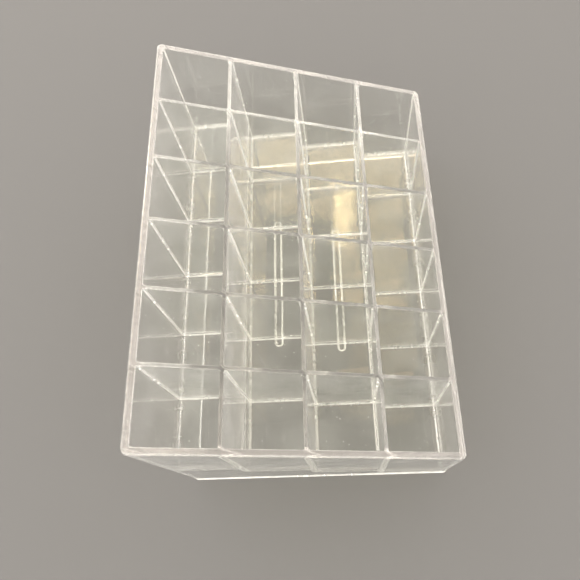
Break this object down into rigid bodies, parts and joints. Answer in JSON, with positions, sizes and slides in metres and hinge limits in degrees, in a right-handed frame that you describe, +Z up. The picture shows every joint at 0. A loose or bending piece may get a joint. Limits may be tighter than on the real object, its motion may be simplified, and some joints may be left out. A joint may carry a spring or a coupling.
{
  "type": "nail polish rack",
  "caption": "Clear stepped tabletop rack with rows of square open pockets for nail polish bottles or tubes, low at the front and tall at the back.",
  "frame": {"origin": "middle of the footprint, on the surface the rack stands on", "axes": "+X along a tier of pockets, +Y from the low front to the tall back, +Z up"},
  "size_m": [0.15, 0.1006, 0.0818],
  "materials": {
    "clear_polystyrene": "polished clear moulded plastic with bright edges, lightly scratched"
  },
  "bodies": {
    "root": {"wall_front": "clear_polystyrene", "wall_back": "clear_polystyrene", "wall_left": "clear_polystyrene", "wall_right": "clear_polystyrene", "floor_front": "clear_polystyrene", "floor_lower": "clear_polystyrene", "floor_upper": "clear_polystyrene", "floor_back": "clear_polystyrene", "divider_front_lower": "clear_polystyrene", "divider_lower_upper": "clear_polystyrene", "divider_upper_back": "clear_polystyrene", "partition_front_1": "clear_polystyrene", "partition_front_2": "clear_polystyrene", "partition_front_3": "clear_polystyrene", "partition_front_4": "clear_polystyrene", "partition_front_5": "clear_polystyrene", "partition_lower_1": "clear_polystyrene", "partition_lower_2": "clear_polystyrene", "partition_lower_3": "clear_polystyrene", "partition_lower_4": "clear_polystyrene", "partition_lower_5": "clear_polystyrene", "partition_upper_1": "clear_polystyrene", "partition_upper_2": "clear_polystyrene", "partition_upper_3": "clear_polystyrene", "partition_upper_4": "clear_polystyrene", "partition_upper_5": "clear_polystyrene", "partition_back_1": "clear_polystyrene", "partition_back_2": "clear_polystyrene", "partition_back_3": "clear_polystyrene", "partition_back_4": "clear_polystyrene", "partition_back_5": "clear_polystyrene"}
  },
  "joints": []
}
